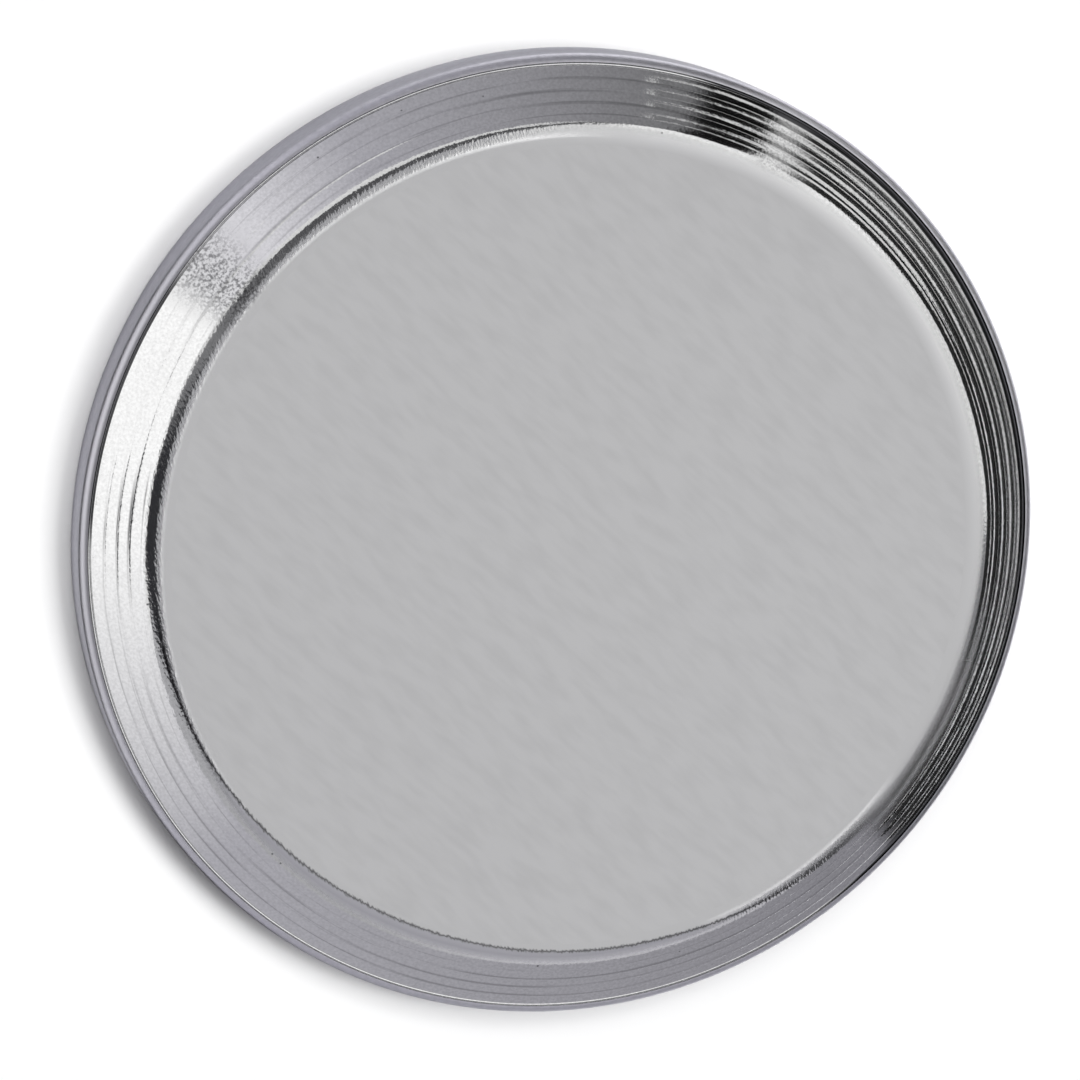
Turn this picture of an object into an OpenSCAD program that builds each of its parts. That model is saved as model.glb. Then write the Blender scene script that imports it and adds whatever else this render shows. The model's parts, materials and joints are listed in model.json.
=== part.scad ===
// Disc magnet: a flat round magnet with an upright rim, a rounded lip,
// a bevelled shoulder that carries fine turning grooves, and a plain flat face.
// It lies on its underside. Millimetres, +Z up, origin at the centre of the underside.

/* [Disc] */
// Outside diameter
disc_d = 20; // [12:0.5:40]
// Overall thickness
disc_t = 2; // [1.6:0.1:4]
// Radius of the rounded lower edge
base_r = 0.1; // [0.05:0.01:0.2]

/* [Rim] */
// Height of the rim, from the underside to the top of its lip
rim_h = 1.12; // [0.8:0.02:1.2]
// Radius of the rounded lip on top of the rim
lip_r = 0.2; // [0.1:0.01:0.3]
// Radius of the round-bottomed line cut where the lip meets the bevel
seam_r = 0.04; // [0.02:0.005:0.06]

/* [Bevel] */
// Radial width of the bevel, from the lip to the corner it makes with the face
bevel_w = 1.12; // [0.8:0.02:2]
// Radius that rounds the bevel over into the face
face_r = 0.7; // [0.1:0.05:0.7]

/* [Turning grooves] */
// Distance from one groove to the next, up the bevel
groove_pitch = 0.28; // [0.2:0.01:0.4]
// Share of that distance that a groove takes up, the rest being a narrow crest
groove_share = 0.92; // [0.2:0.02:0.96]
// Depth of a groove
groove_depth = 0.01; // [0.005:0.0025:0.02]

/* [Hidden] */
$fn = 96;

disc_r = disc_d / 2;

// Foot of the bevel, at the inner edge of the lip, and the corner it runs up to
foot = [disc_r - lip_r, rim_h];
corner = [foot.x - bevel_w, disc_t];
bevel_len = norm(corner - foot);
up_bevel = (corner - foot) / bevel_len;
out_of_bevel = [up_bevel.y, -up_bevel.x];
bevel_angle = atan2(corner.y - foot.y, foot.x - corner.x);

// The rounding at the corner leaves the bevel and meets the face this far from the corner
face_tangent = face_r * tan(bevel_angle / 2);

// Grooves that fit between the line at the foot and the rounding, counted from the foot
groove_count = floor((bevel_len - face_tangent - seam_r) / groove_pitch);
first_groove = seam_r + groove_pitch / 2;

// Radius of the tool nose that cuts a groove of that width and depth
groove_w = groove_share * groove_pitch;
nose_r = (pow(groove_w / 2, 2) + pow(groove_depth, 2)) / (2 * groove_depth);

// A point on the bevel, a distance up from its foot and a height off its surface
function on_bevel(up, off = 0) = foot + up * up_bevel + off * out_of_bevel;

// Half section with its rounded edges, axis on the left
module plain_section() {
    polygon([
        [0, 0],
        [disc_r - base_r, 0],
        [disc_r, base_r],
        [disc_r, rim_h - lip_r],
        foot,
        on_bevel(bevel_len - face_tangent),
        [corner.x - face_tangent, disc_t],
        [0, disc_t]
    ]);
    translate([disc_r - base_r, base_r]) circle(base_r);
    translate([disc_r - lip_r, rim_h - lip_r]) circle(lip_r);
    translate([corner.x - face_tangent, disc_t - face_r]) circle(face_r);
}

// Round-bottomed line between the lip and the bevel
module seam_cut() {
    translate(foot) circle(seam_r);
}

// One turning groove at the origin, as the tool nose leaves it in a flat surface
module groove_cut() {
    intersection() {
        translate([0, nose_r - groove_depth]) circle(nose_r);
        square([groove_w, 2 * groove_depth], center = true);
    }
}

// Evenly spaced turning grooves, cut square to the bevel
module groove_cuts() {
    for (i = [0 : groove_count - 1])
        translate(on_bevel(first_groove + i * groove_pitch))
            rotate(-bevel_angle)
                groove_cut();
}

module magnet_disc() {
    color("silver")
        rotate_extrude()
            difference() {
                plain_section();
                seam_cut();
                groove_cuts();
            }
}

magnet_disc();
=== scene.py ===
# Disc magnet: the looks of a turned, nickel-plated disc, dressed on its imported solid.
# Metres, in the solid's own frame: +Z up, origin at the centre of the underside.
import json
import math

import bpy
from mathutils import Matrix, Vector


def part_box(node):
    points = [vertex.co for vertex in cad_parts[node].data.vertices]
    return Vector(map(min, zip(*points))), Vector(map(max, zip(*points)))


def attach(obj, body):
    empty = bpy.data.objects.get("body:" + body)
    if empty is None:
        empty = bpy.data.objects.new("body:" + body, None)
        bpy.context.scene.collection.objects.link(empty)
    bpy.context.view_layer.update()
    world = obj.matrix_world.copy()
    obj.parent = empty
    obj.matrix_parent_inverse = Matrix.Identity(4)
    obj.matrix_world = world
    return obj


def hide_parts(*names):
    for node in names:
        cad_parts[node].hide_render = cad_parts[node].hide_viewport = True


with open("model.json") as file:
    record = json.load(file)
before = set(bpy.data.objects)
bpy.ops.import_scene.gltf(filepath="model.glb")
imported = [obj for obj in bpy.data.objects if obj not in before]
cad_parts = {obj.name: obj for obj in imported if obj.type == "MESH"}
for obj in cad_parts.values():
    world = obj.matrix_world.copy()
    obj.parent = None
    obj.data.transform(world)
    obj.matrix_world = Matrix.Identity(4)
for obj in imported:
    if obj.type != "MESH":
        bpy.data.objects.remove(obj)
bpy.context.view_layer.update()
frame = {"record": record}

MM = 0.001

# Driving sizes, taken from the solid and from its rim mount
disc_low, disc_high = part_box("magnet_disc")
DISC_R = (disc_high.x - disc_low.x) / 2
DISC_T = disc_high.z - disc_low.z
RIM_MOUNT = next(mount for mount in frame["record"]["mounts"] if mount["name"] == "rim")
RIM_LENGTH = RIM_MOUNT["dims"]["length_mm"] * MM
RIM_LOW = RIM_MOUNT["pos_m"][2] - RIM_LENGTH / 2
RIM_HIGH = RIM_MOUNT["pos_m"][2] + RIM_LENGTH / 2

# Section sizes that repeat the solid's own
BASE_R = RIM_LOW
LIP_R = 0.2 * MM
SEAM_R = 0.04 * MM
BEVEL_W = 1.12 * MM
FACE_R = 0.7 * MM
GROOVE_PITCH = 0.28 * MM
GROOVE_W = 0.92 * GROOVE_PITCH
GROOVE_DEPTH = 0.01 * MM

# Bevel and rounded edge, worked out from those sizes
BEVEL_FOOT = (DISC_R - LIP_R, RIM_HIGH + LIP_R)
BEVEL_TOP = (BEVEL_FOOT[0] - BEVEL_W, DISC_T)
BEVEL_SLOPE = math.atan2(BEVEL_TOP[1] - BEVEL_FOOT[1], BEVEL_W)
FLAT_R = BEVEL_TOP[0] - FACE_R * math.tan(BEVEL_SLOPE / 2)
# The edge's finish runs across the rounding and a little way onto the flat
ROUNDING = FACE_R * BEVEL_SLOPE
EDGE_LENGTH = ROUNDING + 0.15 * MM

# The photograph's view, as fitted to the outline and rings of the disc
IMAGE_SIDE = 1080
SENSOR = 36.0
VIEW_TILT = math.radians(17.9)
VIEW_LEAN = math.radians(-41.4)
PIXELS_PER_MM = 48.65
DISC_CENTRE_PIXEL = (550.7, 529.2)
CAMERA_DISTANCE = 150 * MM


def linear(code):
    """An sRGB hex colour as linear red, green, blue and alpha."""
    shares = [int(code[i:i + 2], 16) / 255 for i in (1, 3, 5)]
    return [s / 12.92 if s <= 0.04045 else ((s + 0.055) / 1.055) ** 2.4 for s in shares] + [1.0]


def add_node(tree, kind, inputs=None, **settings):
    """A new node with its settings, and each input set to a value or linked to a socket."""
    node = tree.nodes.new(kind)
    for name, value in settings.items():
        setattr(node, name, value)
    for key, value in (inputs or {}).items():
        if isinstance(value, bpy.types.NodeSocket):
            tree.links.new(value, node.inputs[key])
        else:
            node.inputs[key].default_value = value
    return node


def set_ramp(node, stops):
    """Colour stops of a ramp node, as pairs of position and hex colour in rising order."""
    elements = node.color_ramp.elements
    while len(elements) < len(stops):
        elements.new(1.0)
    for element, (position, code) in zip(elements, stops):
        element.position = position
        element.color = linear(code)


def new_material(name):
    """An empty material tree with its output node."""
    material = bpy.data.materials.new(name)
    material.use_nodes = True
    tree = material.node_tree
    tree.nodes.clear()
    return material, tree, add_node(tree, "ShaderNodeOutputMaterial")


def math_of(tree, operation, first, second, clamp=True):
    """The result of a sum on two values or sockets, kept between 0 and 1 unless told otherwise."""
    return add_node(tree, "ShaderNodeMath", {
        0: first, 1: second,
    }, operation=operation, use_clamp=clamp).outputs["Value"]


def ranged(tree, value, start, end, first, last):
    """A value that runs from first to last while the given one runs from start to end."""
    return add_node(tree, "ShaderNodeMapRange", {
        "Value": value, "From Min": start, "From Max": end, "To Min": first, "To Max": last,
    }).outputs["Result"]


def noise(tree, place, size, detail=1.0, turn=0.0):
    """Noise with features of a given size in x, y and z, turned about the axis."""
    fitted = add_node(tree, "ShaderNodeMapping", {
        "Vector": place, "Rotation": (0, 0, turn), "Scale": size,
    }, vector_type="TEXTURE")
    return add_node(tree, "ShaderNodeTexNoise", {
        "Vector": fitted.outputs["Vector"], "Scale": 1.0, "Detail": detail,
    }).outputs["Fac"]


def bearing_share(tree, place):
    """The bearing round the disc's axis, as a share of the full turn from +X."""
    # The radial gradient starts opposite +X, so it is turned half round
    turned = add_node(tree, "ShaderNodeMapping", {"Vector": place, "Rotation": (0, 0, math.pi)})
    return add_node(tree, "ShaderNodeTexGradient", {
        "Vector": turned.outputs["Vector"],
    }, gradient_type="RADIAL").outputs["Fac"]


def bearing_curve(tree, share, points):
    """A value that changes in straight lines with the bearing, from pairs of degrees and value."""
    node = add_node(tree, "ShaderNodeFloatCurve", {"Value": share})
    curve = node.mapping.curves[0]
    while len(curve.points) < len(points):
        curve.points.new(1.0, 1.0)
    for point, (degrees, value) in zip(curve.points, points):
        point.location = (degrees / 360, value)
        point.handle_type = "VECTOR"
    node.mapping.update()
    return node.outputs["Value"]


def mixed(tree, share, first, second):
    """Two colours, mixed by a share of the second."""
    return add_node(tree, "ShaderNodeMix", {
        "Factor": share, "A": first, "B": second,
    }, data_type="RGBA").outputs["Result"]


# Materials
# Black of the bevel's real marks and of the painted shade lines on it
MARK_AND_SHADE_BLACK = "#2c2c30"
SATIN_ROUGHNESS = 0.6


def satin_nickel():
    """Nickel plate over a ground face: an even soft grey with faint strokes, and no sharp reflection."""
    material, tree, output = new_material("satin_nickel_ground")
    place = add_node(tree, "ShaderNodeTexCoord").outputs["Object"]
    # Strokes left by the grinding, all along one diagonal
    strokes = noise(tree, place, (0.9 * MM, 0.25 * MM, 1 * MM), 2.0, VIEW_LEAN)
    grey = add_node(tree, "ShaderNodeValToRGB", {"Fac": strokes})
    set_ramp(grey, [(0.3, "#d1d1d1"), (0.6, "#d6d6d6")])
    shader = add_node(tree, "ShaderNodeBsdfPrincipled", {
        "Base Color": grey.outputs["Color"], "Metallic": 1.0, "Roughness": SATIN_ROUGHNESS,
    })
    tree.links.new(shader.outputs["BSDF"], output.inputs["Surface"])
    return material


def tool_marks(tree, place):
    """Fine tool lines round the bevel and the plating's grain, as two patterns and the normal they give."""
    # The lines are long around the axis and close together up the bevel
    lines = noise(tree, place, (2.5 * MM, 2.5 * MM, 0.035 * MM))
    # Real grain is too fine to show, so it is drawn coarser
    grain = noise(tree, place, (0.06 * MM, 0.06 * MM, 0.06 * MM))
    line_bump = add_node(tree, "ShaderNodeBump", {"Distance": 0.002 * MM, "Height": lines})
    grain_bump = add_node(tree, "ShaderNodeBump", {
        "Distance": 0.0015 * MM, "Height": grain, "Normal": line_bump.outputs["Normal"],
    })
    return lines, grain, grain_bump.outputs["Normal"]


def edge_burrs(tree, place, edge, soft_edge, normal):
    """Short steep burrs that the grinding of the face drags over its edge, and the normal they give."""
    burrs = noise(tree, place, (0.12 * MM, 0.05 * MM, 1 * MM), 1.0, math.radians(-75))
    rough_edge = add_node(tree, "ShaderNodeValToRGB", {"Fac": edge})
    set_ramp(rough_edge, [(0.0, "#000000"), (0.3, "#ffffff"), (0.6, "#ffffff"), (1.0, "#000000")])
    # They are lower where the edge is soft
    sharp_edge = ranged(tree, soft_edge, 0.0, 1.0, 1.0, 0.25)
    burr_share = math_of(tree, "MULTIPLY", rough_edge.outputs["Color"], sharp_edge)
    bump = add_node(tree, "ShaderNodeBump", {
        "Strength": burr_share, "Distance": 0.005 * MM, "Height": burrs, "Normal": normal,
    })
    return burrs, bump.outputs["Normal"]


def marks_and_painted_shade(tree, place, bearing, crest, lines):
    """How far the bevel is darkened: crests with wear and painted shade, a painted shade line at its foot,
    speckle and pits.
    """
    # Crests are darkened here and there, by wear and by painted shade of the grooves: hardly along a plain
    # stretch at the left, and most just below it
    wear_and_shade_depth = bearing_curve(tree, bearing, (
        (0, 0.36), (148, 0.36), (151, 0.03), (168, 0.03), (172, 0.8), (177, 0.8), (180, 0.36), (360, 0.36),
    ))
    wear_and_shade_crest = math_of(tree, "MULTIPLY", crest, wear_and_shade_depth)
    wear_and_shade = math_of(tree, "MULTIPLY", ranged(tree, lines, 0.4, 0.62, 0.0, 1.0), wear_and_shade_crest)
    # The line at the foot is painted shade in its groove: black and broad at the right, black and thin at the
    # left, and else faint
    foot_shade_depth = bearing_curve(tree, bearing, (
        (0, 1), (66, 1), (76, 0.15), (143, 0.15), (147, 0.47), (176, 0.47), (180, 0.13), (305, 0.13),
        (318, 0.8), (340, 0.6), (360, 1),
    ))
    foot_reach = math_of(tree, "SUBTRACT", foot_shade_depth, crest, False)
    foot_shade_line = ranged(tree, foot_reach, 1.0, 1.5, 0.0, 0.95)
    # Two patches of coarse plating are speckled dark, at the upper left and at the upper right
    speckle = noise(tree, place, (0.06 * MM, 0.06 * MM, 0.06 * MM), 2.0)
    coarse = bearing_curve(tree, bearing, (
        (0, 0), (57, 0), (60, 0.45), (65, 0.45), (67, 0), (136, 0), (141, 1), (144, 1), (149, 0), (360, 0),
    ))
    dots = math_of(tree, "MULTIPLY", ranged(tree, speckle, 0.4, 0.62, 0.0, 0.75), coarse)
    # There is a pit wherever a point of a wide scatter comes close to the surface
    pit_spacing = 0.7 * MM
    pit_share = 0.03 * MM / pit_spacing
    scatter = add_node(tree, "ShaderNodeTexVoronoi", {"Vector": place, "Scale": 1 / pit_spacing})
    pit = ranged(tree, scatter.outputs["Distance"], 0.5 * pit_share, pit_share, 0.8, 0.0)
    marks = math_of(tree, "MAXIMUM", wear_and_shade, dots)
    return math_of(tree, "MAXIMUM", marks, math_of(tree, "MAXIMUM", foot_shade_line, pit))


def painted_edge_line(tree, bearing, edge, burrs):
    """A fine painted dark line of shade along the rounded edge, frayed by the burrs, and the metal outside
    it.
    """
    # It runs along the lower left and the bottom
    line_place = bearing_curve(tree, bearing, (
        (0, 0.4), (180, 0.46), (195, 0.54), (210, 0.67), (225, 0.83), (240, 0.91), (255, 0.9), (270, 0.83),
        (285, 0.73), (300, 0.49), (308, 0.38), (360, 0.4),
    ))
    line_depth = bearing_curve(tree, bearing, (
        (0, 0), (183, 0), (194, 1), (212, 1), (225, 0.8), (270, 0.8), (290, 0.9), (302, 0.9), (309, 0),
        (360, 0),
    ))
    half_width = 0.07
    fraying = 0.16
    frayed = math_of(tree, "ADD", math_of(tree, "MULTIPLY", burrs, fraying, False), edge, False)
    past_line = math_of(tree, "SUBTRACT", frayed, line_place, False)
    bevel_side = ranged(tree, past_line, -half_width, 0.0, 1.0, 0.0)
    face_side = ranged(tree, past_line, 0.0, half_width, 0.0, 1.0)
    on_line = math_of(tree, "SUBTRACT", 1.0, math_of(tree, "MAXIMUM", bevel_side, face_side))
    return math_of(tree, "MULTIPLY", on_line, line_depth), math_of(tree, "MULTIPLY", bevel_side, line_depth)


def painted_edge_tone(tree, bearing, edge, outside_edge_shade):
    """The face's satin on its rounded edge: painted shade makes it greyer outside the painted dark line, and
    a painted highlight makes it lighter along the right.
    """
    # Painted shade greys the satin outside the painted line
    grey = mixed(tree, outside_edge_shade, linear("#d4d4d4"), linear("#b8b7be"))
    # A painted highlight lightens the rounding along the right
    painted_highlight_across = add_node(tree, "ShaderNodeValToRGB", {"Fac": edge})
    set_ramp(painted_highlight_across, [(0.4, "#000000"), (0.56, "#ffffff"), (1.0, "#000000")])
    painted_highlight_along = bearing_curve(tree, bearing, (
        (0, 0.3), (20, 0.7), (45, 1), (80, 1), (95, 0.3), (105, 0), (340, 0), (360, 0.3),
    ))
    painted_highlight = math_of(tree, "MULTIPLY", painted_highlight_across.outputs["Color"], painted_highlight_along)
    return mixed(tree, painted_highlight, grey, linear("#eeeeee"))


def dull_patches(tree, height, bearing):
    """How far the bevel is dulled by handling."""
    # At the lower right it is rubbed from the third groove up
    rubbed = math_of(
        tree, "MULTIPLY",
        ranged(tree, height, DISC_T - 0.42 * MM, DISC_T - 0.25 * MM, 0.0, 0.5),
        bearing_curve(tree, bearing, ((0, 0), (310, 0), (321, 1), (338, 1), (354, 0), (360, 0))),
    )
    # At the right it is a little dull too, most of all near its foot
    blurred = math_of(
        tree, "MULTIPLY",
        ranged(tree, height, BEVEL_FOOT[1], BEVEL_FOOT[1] + 0.55 * MM, 0.2, 0.0),
        bearing_curve(tree, bearing, ((0, 1), (52, 1), (60, 0), (340, 0), (352, 1), (360, 1))),
    )
    return math_of(tree, "MAXIMUM", rubbed, blurred)


def turned_nickel():
    """Bright nickel over a turned bevel: it mirrors the room in rings, with crests darkened by wear and
    painted shade, and a ragged edge with a painted dark line and a painted highlight.
    """
    material, tree, output = new_material("bright_nickel_turned")
    place = add_node(tree, "ShaderNodeTexCoord").outputs["Object"]
    height = add_node(tree, "ShaderNodeSeparateXYZ", {"Vector": place}).outputs["Z"]
    edge = add_node(tree, "ShaderNodeAttribute", attribute_name="rounding").outputs["Fac"]
    crest = add_node(tree, "ShaderNodeAttribute", attribute_name="crest").outputs["Fac"]
    bearing = bearing_share(tree, place)
    # The edge is soft at the right and along the bottom
    soft_edge = bearing_curve(tree, bearing, (
        (0, 1), (85, 1), (105, 0), (204, 0), (222, 1), (290, 1), (298, 0), (312, 0), (325, 1), (360, 1),
    ))
    lines, grain, tooled = tool_marks(tree, place)
    burrs, normal = edge_burrs(tree, place, edge, soft_edge, tooled)
    edge_shade_line, outside_edge_shade = painted_edge_line(tree, bearing, edge, burrs)
    # Towards the face the plating takes on the face's own satin, sooner where the edge is soft
    along_rounding = math_of(tree, "MULTIPLY", edge, EDGE_LENGTH / ROUNDING)
    satin = math_of(
        tree, "MAXIMUM",
        math_of(tree, "POWER", along_rounding, 6.0),
        math_of(tree, "MULTIPLY", ranged(tree, edge, 0.3, 0.57, 0.0, 1.0), soft_edge),
    )
    shade = add_node(tree, "ShaderNodeValToRGB", {"Fac": grain})
    set_ramp(shade, [(0.3, "#d3d3d3"), (0.7, "#e2e2e2")])
    dark = marks_and_painted_shade(tree, place, bearing, crest, lines)
    marked = mixed(tree, dark, shade.outputs["Color"], linear(MARK_AND_SHADE_BLACK))
    dressed = mixed(tree, satin, marked, painted_edge_tone(tree, bearing, edge, outside_edge_shade))
    dull = math_of(tree, "MAXIMUM", satin, dull_patches(tree, height, bearing))
    shader = add_node(tree, "ShaderNodeBsdfPrincipled", {
        "Base Color": mixed(tree, edge_shade_line, dressed, linear(MARK_AND_SHADE_BLACK)), "Metallic": 1.0,
        "Roughness": ranged(tree, dull, 0.0, 1.0, 0.1, SATIN_ROUGHNESS), "Normal": normal,
    })
    tree.links.new(shader.outputs["BSDF"], output.inputs["Surface"])
    return material


def rim_nickel():
    """Nickel plate over the drawn side: a soft sheen that only hints at what stands near it."""
    material, tree, output = new_material("semi_bright_nickel_rim")
    place = add_node(tree, "ShaderNodeTexCoord").outputs["Object"]
    mottle = noise(tree, place, (0.12 * MM, 0.12 * MM, 0.12 * MM), 2.0)
    tone = add_node(tree, "ShaderNodeValToRGB", {"Fac": mottle})
    set_ramp(tone, [(0.3, "#c8c7cd"), (0.7, "#d4d3d9")])
    # The lip is painted a little greyer along the left: painted shade that dims its highlight there
    height = add_node(tree, "ShaderNodeSeparateXYZ", {"Vector": place}).outputs["Z"]
    left = bearing_curve(tree, bearing_share(tree, place), (
        (0, 0), (130, 0), (148, 1), (190, 1), (205, 0.3), (220, 0), (360, 0),
    ))
    on_lip = ranged(tree, height, RIM_HIGH, RIM_HIGH + LIP_R / 2, 0.0, 1.0)
    rubbed = math_of(tree, "MULTIPLY", on_lip, left)
    shader = add_node(tree, "ShaderNodeBsdfPrincipled", {
        "Base Color": mixed(tree, rubbed, tone.outputs["Color"], linear("#b9b8be")),
        "Metallic": 1.0, "Roughness": 0.4,
    })
    tree.links.new(shader.outputs["BSDF"], output.inputs["Surface"])
    return material


# Section of the disc, from the centre of the underside round to the centre of the face
UNDERSIDE, RIM, BEVEL, FACE = range(4)


def arc(centre, radius, start, end, steps):
    """Points of an arc about a centre, angles in degrees."""
    turns = [math.radians(start + (end - start) * i / steps) for i in range(steps + 1)]
    return [(centre[0] + radius * math.cos(t), centre[1] + radius * math.sin(t)) for t in turns]


def bevel_points(foot, up, out, length):
    """Radius, height and crest mark up the bevel, with a shallow round-bottomed groove at each pitch."""
    nose_r = ((GROOVE_W / 2) ** 2 + GROOVE_DEPTH ** 2) / (2 * GROOVE_DEPTH)
    half_turn = math.asin(GROOVE_W / 2 / nose_r)
    count = math.floor((length - SEAM_R) / GROOVE_PITCH)
    steps = 12
    points = [(SEAM_R, 0.0, -0.5)]
    for i in range(count):
        middle = SEAM_R + (i + 0.5) * GROOVE_PITCH
        for k in range(steps + 1):
            turn = half_turn * (2 * k / steps - 1)
            off = nose_r * (1 - math.cos(turn)) - GROOVE_DEPTH
            # The mark of a crest fades within two steps of the groove's edge
            crest = max(0.0, 1 - min(k, steps - k) / 2)
            # The lowest third of the first groove is marked as metal just above the line at the foot
            if i == 0 and k < steps / 2:
                crest = -0.5 if k < steps / 3 else 0.0
            points.append((middle + nose_r * math.sin(turn), off, crest))
    return [
        (foot[0] + u * up[0] + o * out[0], foot[1] + u * up[1] + o * out[1], crest)
        for u, o, crest in points
    ]


def disc_section():
    """Rows of radius, height, zone, share of the edge's finish and crest mark along the half section.

    The crest mark is 1 on a crest between two grooves, -1 in the line at the foot of the bevel and -0.5
    on the metal just above that line.
    """
    length = math.dist(BEVEL_FOOT, BEVEL_TOP)
    up = (-math.cos(BEVEL_SLOPE), math.sin(BEVEL_SLOPE))
    out = (up[1], -up[0])
    slope = math.degrees(BEVEL_SLOPE)
    plain_length = length - (BEVEL_TOP[0] - FLAT_R)
    flat_rings = 6
    # The line at the foot of the bevel takes this much off the lip's arc, in degrees
    lip_cut = 11.5
    rows = [(DISC_R * i / flat_rings, 0.0, UNDERSIDE, 0.0, 0.0) for i in range(flat_rings)]
    rows += [(r, z, RIM, 0.0, 0.0) for r, z in arc((DISC_R - BASE_R, BASE_R), BASE_R, -90, 0, 8)]
    rows += [(r, z, RIM, 0.0, 0.0) for r, z in arc((DISC_R - LIP_R, RIM_HIGH), LIP_R, 0, 90 - lip_cut, 12)]
    rows += [(r, z, BEVEL, 0.0, -1.0) for r, z in arc(BEVEL_FOOT, SEAM_R, 0, slope - 180, 8)]
    rows += [(r, z, BEVEL, 0.0, crest) for r, z, crest in bevel_points(BEVEL_FOOT, up, out, plain_length)]
    edge_steps = 18
    edge = arc((FLAT_R, DISC_T - FACE_R), FACE_R, 90 - slope, 90, edge_steps)
    share = ROUNDING / EDGE_LENGTH
    rows += [(r, z, BEVEL, share * i / edge_steps, 0.0) for i, (r, z) in enumerate(edge)]
    plain_r = FLAT_R - (EDGE_LENGTH - ROUNDING)
    rows.append((plain_r, DISC_T, FACE, 1.0, 0.0))
    rows += [(plain_r * i / flat_rings, DISC_T, FACE, 0.0, 0.0) for i in range(flat_rings - 1, -1, -1)]
    return rows


def lathe_tree(materials):
    """A tree that sweeps a section round the disc's edge circle and dresses each zone in its material."""
    tree = bpy.data.node_groups.new("turned_disc", "GeometryNodeTree")
    tree.is_modifier = True
    sockets = tree.interface
    sockets.new_socket("Geometry", in_out="INPUT", socket_type="NodeSocketGeometry")
    sockets.new_socket("Radius", in_out="INPUT", socket_type="NodeSocketFloat")
    sockets.new_socket("Steps around", in_out="INPUT", socket_type="NodeSocketInt")
    sockets.new_socket("Crease angle", in_out="INPUT", socket_type="NodeSocketFloat")
    sockets.new_socket("Geometry", in_out="OUTPUT", socket_type="NodeSocketGeometry")
    given = add_node(tree, "NodeGroupInput").outputs
    section = add_node(tree, "GeometryNodeMeshToCurve", {"Mesh": given["Geometry"]})
    path = add_node(tree, "GeometryNodeCurvePrimitiveCircle", {
        "Resolution": given["Steps around"], "Radius": given["Radius"],
    }, mode="RADIUS")
    swept = add_node(tree, "GeometryNodeCurveToMesh", {
        "Curve": path.outputs["Curve"], "Profile Curve": section.outputs["Curve"],
    })
    closed = add_node(tree, "GeometryNodeMergeByDistance", {
        "Geometry": swept.outputs["Mesh"], "Distance": 0.0001 * MM,
    })
    outward = add_node(tree, "GeometryNodeFlipFaces", {"Mesh": closed.outputs["Geometry"]})
    smooth = add_node(tree, "GeometryNodeSetShadeSmooth", {"Geometry": outward.outputs["Mesh"]})
    turn = add_node(tree, "GeometryNodeInputMeshEdgeAngle")
    crease = add_node(tree, "FunctionNodeCompare", {
        "A": turn.outputs["Unsigned Angle"], "B": given["Crease angle"],
    }, data_type="FLOAT", operation="GREATER_THAN")
    creased = add_node(tree, "GeometryNodeSetShadeSmooth", {
        "Geometry": smooth.outputs["Geometry"], "Selection": crease.outputs["Result"], "Shade Smooth": False,
    }, domain="EDGE")
    last = add_node(tree, "GeometryNodeRealizeInstances", {"Geometry": creased.outputs["Geometry"]})
    zone = add_node(tree, "GeometryNodeInputNamedAttribute", {"Name": "zone"}, data_type="FLOAT")
    for number, material in enumerate(materials):
        here = add_node(tree, "FunctionNodeCompare", {
            "A": zone.outputs["Attribute"], "B": number - 0.5,
        }, data_type="FLOAT", operation="GREATER_THAN")
        last = add_node(tree, "GeometryNodeSetMaterial", {
            "Geometry": last.outputs["Geometry"], "Selection": here.outputs["Result"], "Material": material,
        })
    add_node(tree, "NodeGroupOutput", {"Geometry": last.outputs["Geometry"]})
    return tree


def turn_disc():
    """The dressed disc as one plain mesh."""
    rows = disc_section()
    section = bpy.data.meshes.new("section")
    points = [(row[0] - DISC_R, -row[1], 0.0) for row in rows]
    section.from_pydata(points, [(i, i + 1) for i in range(len(rows) - 1)], [])
    for name, column in (("zone", 2), ("rounding", 3), ("crest", 4)):
        mark = section.attributes.new(name, "FLOAT", "POINT")
        mark.data.foreach_set("value", [float(row[column]) for row in rows])
    lathe = bpy.data.objects.new("lathe", section)
    bpy.context.scene.collection.objects.link(lathe)
    face, bevel, rim = satin_nickel(), turned_nickel(), rim_nickel()
    tree = lathe_tree([face, rim, bevel, face])
    modifier = lathe.modifiers.new("turned_disc", "NODES")
    modifier.node_group = tree
    sizes = {"Radius": DISC_R, "Steps around": 720, "Crease angle": math.radians(30)}
    for item in tree.interface.items_tree:
        if item.in_out == "INPUT" and item.name in sizes:
            modifier[item.identifier] = sizes[item.name]
    mesh = bpy.data.meshes.new_from_object(lathe.evaluated_get(bpy.context.evaluated_depsgraph_get()))
    bpy.data.objects.remove(lathe)
    mesh.name = "magnet_body"
    body = bpy.data.objects.new("magnet_body", mesh)
    bpy.context.scene.collection.objects.link(body)
    return body


disc = turn_disc()
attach(disc, "root")
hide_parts("magnet_disc")


# Stage
CARD_STRENGTH = 1.3


def towards(bearing, height):
    """Unit direction from the disc at a bearing from +X and a height above the floor, in degrees."""
    a = math.radians(bearing)
    h = math.radians(height)
    return Vector((math.cos(a) * math.cos(h), math.sin(a) * math.cos(h), math.sin(h)))


def mirrored(bearing, slope):
    """The direction that the photograph's view sees in metal sloping down to a bearing, in degrees."""
    view = towards(math.degrees(VIEW_LEAN) + 180, 90 - math.degrees(VIEW_TILT))
    normal = towards(bearing, 90 - slope)
    return 2 * view.dot(normal) * normal - view


def stage_mesh(name, points, faces, material):
    """A stage object from points and faces."""
    mesh = bpy.data.meshes.new(name)
    mesh.from_pydata(points, [], faces)
    mesh.materials.append(material)
    thing = bpy.data.objects.new(name, mesh)
    bpy.context.scene.collection.objects.link(thing)
    return thing


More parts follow.
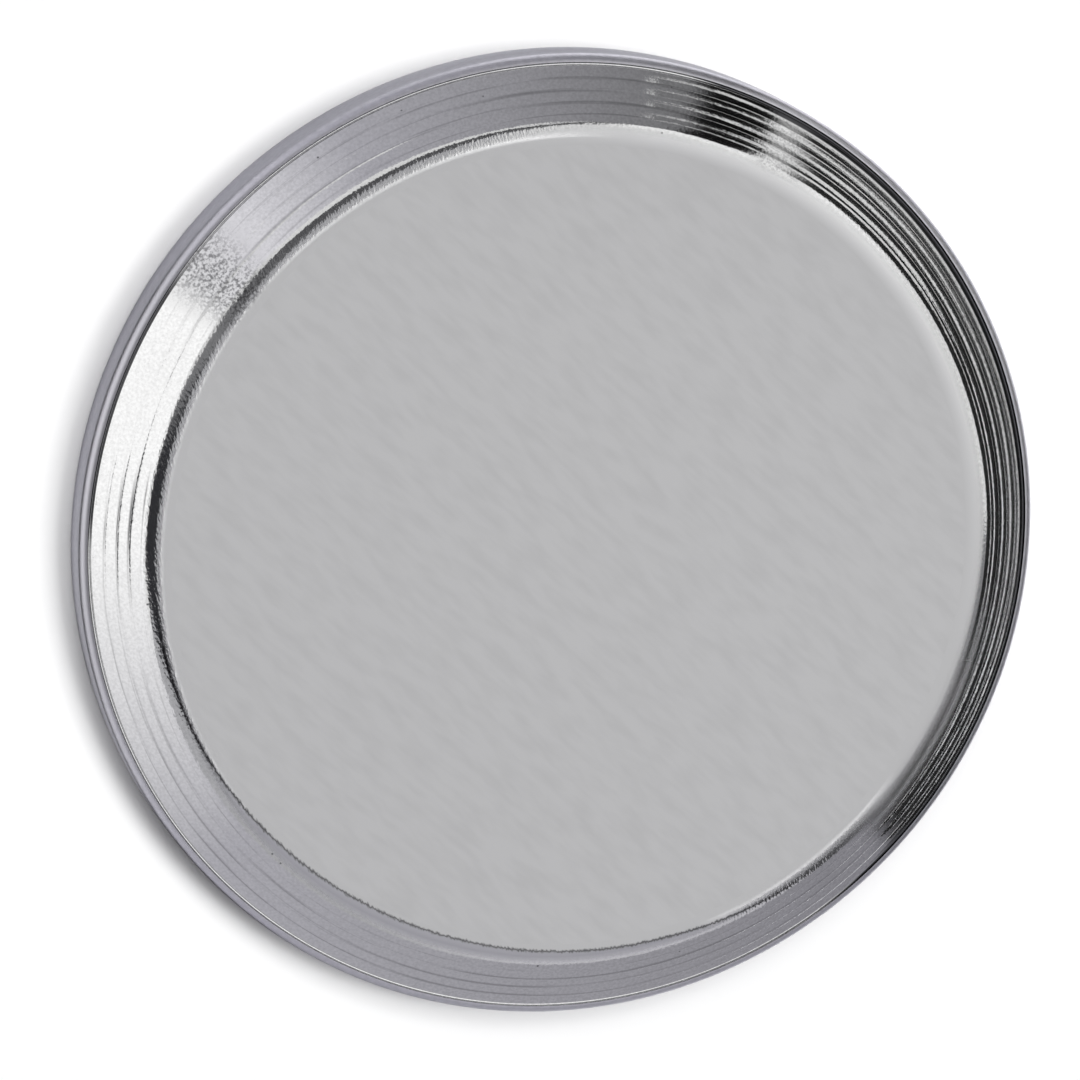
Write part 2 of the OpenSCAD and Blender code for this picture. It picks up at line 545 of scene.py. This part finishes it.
def only_mirrored(thing):
    """Leaves a stage object to the metal's reflections: the lens and the paper do not see it."""
    thing.visible_camera = False
    thing.visible_diffuse = False
    thing.visible_transmission = False
    thing.visible_shadow = False


def paper_floor():
    """White paper under the disc, which keeps its shadow and shows greyer in the metal."""
    half = 300 * MM
    drop = 0.002 * MM
    material, tree, output = new_material("white_paper")
    path = add_node(tree, "ShaderNodeLightPath")
    seen = add_node(tree, "ShaderNodeBsdfDiffuse", {"Color": linear("#f7f7f7")})
    in_metal = add_node(tree, "ShaderNodeBsdfDiffuse", {"Color": linear("#e0e0e3")})
    paper = add_node(tree, "ShaderNodeMixShader", {
        "Fac": path.outputs["Is Glossy Ray"], 1: seen.outputs["BSDF"], 2: in_metal.outputs["BSDF"],
    })
    tree.links.new(paper.outputs["Shader"], output.inputs["Surface"])
    corners = [(-half, -half, -drop), (half, -half, -drop), (half, half, -drop), (-half, half, -drop)]
    stage_mesh("paper_floor", corners, [(0, 1, 2, 3)], material)


def facing_card(name, bearing, height, half_angle, code, strength):
    """A round card that faces the disc from afar and fills the given angle."""
    distance = 300 * MM
    radius = distance * math.tan(math.radians(half_angle))
    middle = towards(bearing, height)
    turn = middle.to_track_quat("Z", "Y").to_matrix()
    steps = 64
    spin = [2 * math.pi * i / steps for i in range(steps)]
    points = [turn @ Vector((radius * math.cos(t), radius * math.sin(t), distance)) for t in spin]
    material, tree, output = new_material(name)
    glow = add_node(tree, "ShaderNodeEmission", {"Color": linear(code), "Strength": strength})
    tree.links.new(glow.outputs["Emission"], output.inputs["Surface"])
    only_mirrored(stage_mesh(name, points, [tuple(range(steps))], material))


def between(table, x):
    """The row of a table at x, each column read off in a straight line between its neighbours."""
    for low, high in zip(table, table[1:]):
        if x <= high[0]:
            share = (x - low[0]) / (high[0] - low[0])
            return [a + (b - a) * share for a, b in zip(low[1:], high[1:])]


def grey_card(name, greys):
    """A glowing card whose grey changes with the bearing round the disc."""
    material, tree, output = new_material(name)
    place = add_node(tree, "ShaderNodeTexCoord").outputs["Object"]
    ramp = add_node(tree, "ShaderNodeValToRGB", {"Fac": bearing_share(tree, place)})
    set_ramp(ramp, [(degrees / 360, code) for degrees, code in greys])
    glow = add_node(tree, "ShaderNodeEmission", {"Color": ramp.outputs["Color"], "Strength": CARD_STRENGTH})
    tree.links.new(glow.outputs["Emission"], output.inputs["Surface"])
    return material


def card_band(name, table, low_at, high_at, greys):
    """A band of card along a table of bearings, between the two edges that its rows give."""
    bearings = range(table[0][0], table[-1][0] + 1)
    rows = [(b, between(table, b)) for b in bearings]
    points = [low_at(b, row) for b, row in rows] + [high_at(b, row) for b, row in rows]
    count = len(rows)
    faces = [(i, i + 1, count + i + 1, count + i) for i in range(count - 1)]
    only_mirrored(stage_mesh(name, points, faces, grey_card(name, greys)))


def standing_card(name, top_r, table, greys):
    """A card round the disc, in mm. Rows: bearing, radius and height of its foot, height of its top."""
    card_band(
        name, table,
        lambda b, row: (towards(b, 0) * row[0] + Vector((0, 0, row[1]))) * MM,
        lambda b, row: (towards(b, 0) * top_r + Vector((0, 0, row[2]))) * MM,
        greys,
    )


def overhead_card(name, distance, table, greys):
    """A card high up, in mm. Rows: bearing on the disc, and the slopes of metal that mirror its two edges."""
    card_band(
        name, table,
        lambda b, row: mirrored(b, row[0]) * distance * MM,
        lambda b, row: mirrored(b, row[1]) * distance * MM,
        greys,
    )


def painted_floor_ring(name, inner_r, outer_r, greys):
    """A flat glowing ring of card just above the paper, in mm, that stands in for the paper in the metal."""
    lift = 0.001
    standing_card(name, outer_r, ((0, inner_r, lift, lift), (360, inner_r, lift, lift)), greys)


def bright_cards():
    """Two bright round cards high above the disc: a white one and the panel of a soft box."""
    facing_card("white_card", bearing=35, height=50, half_angle=18, code="#ffffff", strength=1.1)
    facing_card("soft_box_panel", bearing=338, height=71, half_angle=13, code="#ffffff", strength=2.0)


def near_cards():
    """What the bevel mirrors: a slit between black cards at the right, one card of many greys elsewhere."""
    card_r = 16
    standing_card("ring", card_r, (
        (0, 16, 1.55, 4.1), (13, 16, 2.05, 4.9), (23, 16, 2.48, 5.5), (32, 16, 3.0, 6.0), (42, 16, 3.5, 6.6),
        (52, 16, 3.85, 7.2), (62, 16, 3.9, 8.5), (74, 16, 3.95, 9.6), (75, 16, 0.5, 9.8), (95, 16, 0.5, 8.8),
        (112, 16, 0.5, 7.7), (140, 16, 0.5, 7.5), (150, 16, 0.5, 7.9), (170, 16, 0.5, 7.7),
        (174, 16, 0.5, 6.8), (186, 16, 0.5, 6.6), (207, 14, 0.2, 7.0), (228, 13, 0.0, 7.0),
        (248, 13, 0.0, 6.0), (285, 13, 0.0, 4.9), (304, 13, 0.0, 4.4), (308, 13, 0.0, 4.0),
        (317, 13, 0.0, 3.8), (319, 16, 0.72, 4.4), (337, 16, 1.1, 4.0), (355, 16, 1.42, 3.9),
        (360, 16, 1.55, 4.1),
    ), (
        (0, "#222222"), (49, "#222222"), (52, "#c8c8c8"), (54, "#f0f0f0"), (56, "#f8f8f8"), (57, "#0c0c0c"),
        (66, "#0c0c0c"), (69, "#727274"), (117, "#a9a8af"), (138, "#e0dfe4"), (146, "#e8e8ea"),
        (149, "#ffffff"), (182, "#ffffff"), (228, "#abaab1"), (285, "#949399"), (316, "#828187"),
        (320, "#222222"), (360, "#222222"),
    ))
    standing_card("low_card", card_r, (
        (-43, 13, 0, 0.6), (-41, 13, 0, 0.56), (-23, 13, 0, 0.52), (-5, 13.5, 0, 0.8), (13, 14.3, 0, 1.35),
        (23, 14.7, 0, 1.52), (32, 15, 0, 1.8), (42, 15.3, 0, 2.1), (52, 15.5, 0, 2.55), (62, 15.8, 0, 3.3),
        (74, 15.8, 0, 3.9),
    ), (
        (0, "#1c1c1c"), (52, "#1c1c1c"), (53.5, "#909090"), (56, "#b0b0b0"), (57, "#0c0c0c"),
        (66, "#0c0c0c"), (69, "#727274"), (74, "#727274"), (317, "#1c1c1c"), (360, "#1c1c1c"),
    ))


def painted_floor_rings():
    """What the side mirrors: rings for the lower wall, the upper wall and the lip, from the disc outwards,
    with the disc's shadow painted on them, darkest at the left and lower left.
    """
    contact_r, near_r, wide_r = 10.12, 10.5, 12.5
    painted_floor_ring("contact_ring", DISC_R / MM, contact_r, (
        (0, "#f0f0f4"), (58, "#f4f4f8"), (75, "#d0d0d4"), (90, "#bfbfc4"), (105, "#b6b6ba"),
        (120, "#98989c"), (135, "#94949a"), (150, "#747478"), (180, "#6c6c70"), (195, "#121213"),
        (210, "#121213"), (220, "#0c0c0d"), (230, "#0c0c0d"), (240, "#707074"), (260, "#a8a8ad"),
        (317, "#c0c0c4"), (340, "#f0f0f4"), (360, "#f0f0f4"),
    ))
    painted_floor_ring("near_ring", contact_r, near_r, (
        (0, "#f0f0f4"), (58, "#f0f0f4"), (72, "#909094"), (90, "#808084"), (105, "#98989c"),
        (150, "#b0b0b5"), (185, "#c4c4c9"), (208, "#b0b0b4"), (217, "#080809"), (229, "#080809"),
        (240, "#707074"), (260, "#a8a8ad"), (317, "#c0c0c4"), (340, "#f0f0f4"), (360, "#f0f0f4"),
    ))
    painted_floor_ring("wide_ring", near_r, wide_r, (
        (0, "#f0f0f4"), (75, "#fcfcff"), (90, "#f0f0f4"), (105, "#c8c8cc"), (120, "#a8a8ad"),
        (135, "#8c8c90"), (150, "#202022"), (195, "#161617"), (210, "#606063"), (222, "#1c1c1e"),
        (230, "#1c1c1e"), (240, "#707074"), (255, "#8c8c90"), (270, "#b0b0b4"), (285, "#d0d0d4"),
        (317, "#d0d0d4"), (340, "#f0f0f4"), (360, "#f0f0f4"),
    ))


def high_cards():
    """What the rounded edge of the face mirrors: two dark cards in front of a large grey one."""
    # The grey card is flat across, so its middle is nearer than its edges, and the dark ones hang well inside
    dark_distance, grey_distance = 1400, 2000
    overhead_card("dark_frame", dark_distance, (
        (85, 25, 27), (115, 21, 27), (130, 16, 29), (150, 15, 31), (165, 15, 33), (180, 15, 34),
        (195, 10, 21), (212, 6, 12), (222, 5, 8),
    ), (
        (0, "#2c2c2f"), (130, "#505052"), (150, "#7c7c7e"), (167, "#747476"), (179, "#2c2c2f"),
        (360, "#242427"),
    ))
    overhead_card("lower_shade", dark_distance, (
        (288, 11, 13), (300, 14, 19), (305, 15, 24), (309, 18, 31), (318, 20, 33), (328, 22, 29),
    ), (
        (0, "#58585a"), (300, "#2c2c2f"), (310, "#39393b"), (320, "#505052"), (328, "#707072"),
    ))
    overhead_card("grey_frame", grey_distance, (
        (100, 14, 24), (115, 7, 24), (130, 5, 24), (180, 5, 24), (195, 3, 34), (285, 3, 34), (306, 8, 36),
        (345, 12, 36), (362, 22, 36),
    ), (
        (0, "#7c7c7e"), (100, "#a8a8ab"), (265, "#a8a8ab"), (282, "#bebdc2"), (306, "#bcbbc0"),
        (313, "#88888b"), (345, "#7c7c7e"), (360, "#7c7c7e"),
    ))


def studio_light():
    """A soft white room, brighter where the metal mirrors it, and three soft boxes for the shadow."""
    world = bpy.data.worlds.new("studio")
    bpy.context.scene.world = world
    world.use_nodes = True
    tree = world.node_tree
    tree.nodes.clear()
    path = add_node(tree, "ShaderNodeLightPath")
    room = add_node(tree, "ShaderNodeBackground", {"Color": linear("#ffffff"), "Strength": 0.17})
    sky = add_node(tree, "ShaderNodeBackground", {"Color": linear("#ffffff"), "Strength": 0.9})
    seen = add_node(tree, "ShaderNodeBackground", {"Color": linear("#ffffff"), "Strength": 1.0})
    lit = add_node(tree, "ShaderNodeMixShader", {
        "Fac": path.outputs["Is Glossy Ray"], 1: room.outputs["Background"], 2: sky.outputs["Background"],
    })
    both = add_node(tree, "ShaderNodeMixShader", {
        "Fac": path.outputs["Is Camera Ray"], 1: lit.outputs["Shader"], 2: seen.outputs["Background"],
    })
    add_node(tree, "ShaderNodeOutputWorld", {"Surface": both.outputs["Shader"]})
    distance = 600 * MM
    for name, bearing, height, energy in (
        ("soft_box_right", 0, 66, 2.03), ("soft_box_top", 72, 66, 1.28), ("soft_box_back", 108, 52, 0.68),
    ):
        lamp = bpy.data.lights.new(name, "AREA")
        lamp.shape = "SQUARE"
        lamp.size = 260 * MM
        lamp.energy = energy
        soft_box = bpy.data.objects.new(name, lamp)
        bpy.context.scene.collection.objects.link(soft_box)
        soft_box.location = towards(bearing, height) * distance
        soft_box.rotation_euler = towards(bearing, height).to_track_quat("Z", "Y").to_euler()
        soft_box.visible_glossy = False


def photo_camera():
    """The photograph's view: looking down on the face from the upper left, turned as the picture is."""
    data = bpy.data.cameras.new("photo_camera")
    data.sensor_width = SENSOR
    data.lens = SENSOR * PIXELS_PER_MM * (CAMERA_DISTANCE / MM) / IMAGE_SIDE
    data.clip_start = 1 * MM
    data.clip_end = 2000 * MM
    camera = bpy.data.objects.new("photo_camera", data)
    bpy.context.scene.collection.objects.link(camera)
    turn = Matrix.Rotation(-VIEW_TILT, 4, Vector((-math.sin(VIEW_LEAN), math.cos(VIEW_LEAN), 0)))
    aside = (IMAGE_SIDE / 2 - DISC_CENTRE_PIXEL[0]) / PIXELS_PER_MM * MM
    above = (DISC_CENTRE_PIXEL[1] - IMAGE_SIDE / 2) / PIXELS_PER_MM * MM
    camera.matrix_world = turn @ Matrix.Translation((aside, above, CAMERA_DISTANCE))
    bpy.context.scene.camera = camera


paper_floor()
bright_cards()
near_cards()
painted_floor_rings()
high_cards()
studio_light()
photo_camera()
bpy.context.scene.view_settings.view_transform = "Standard"
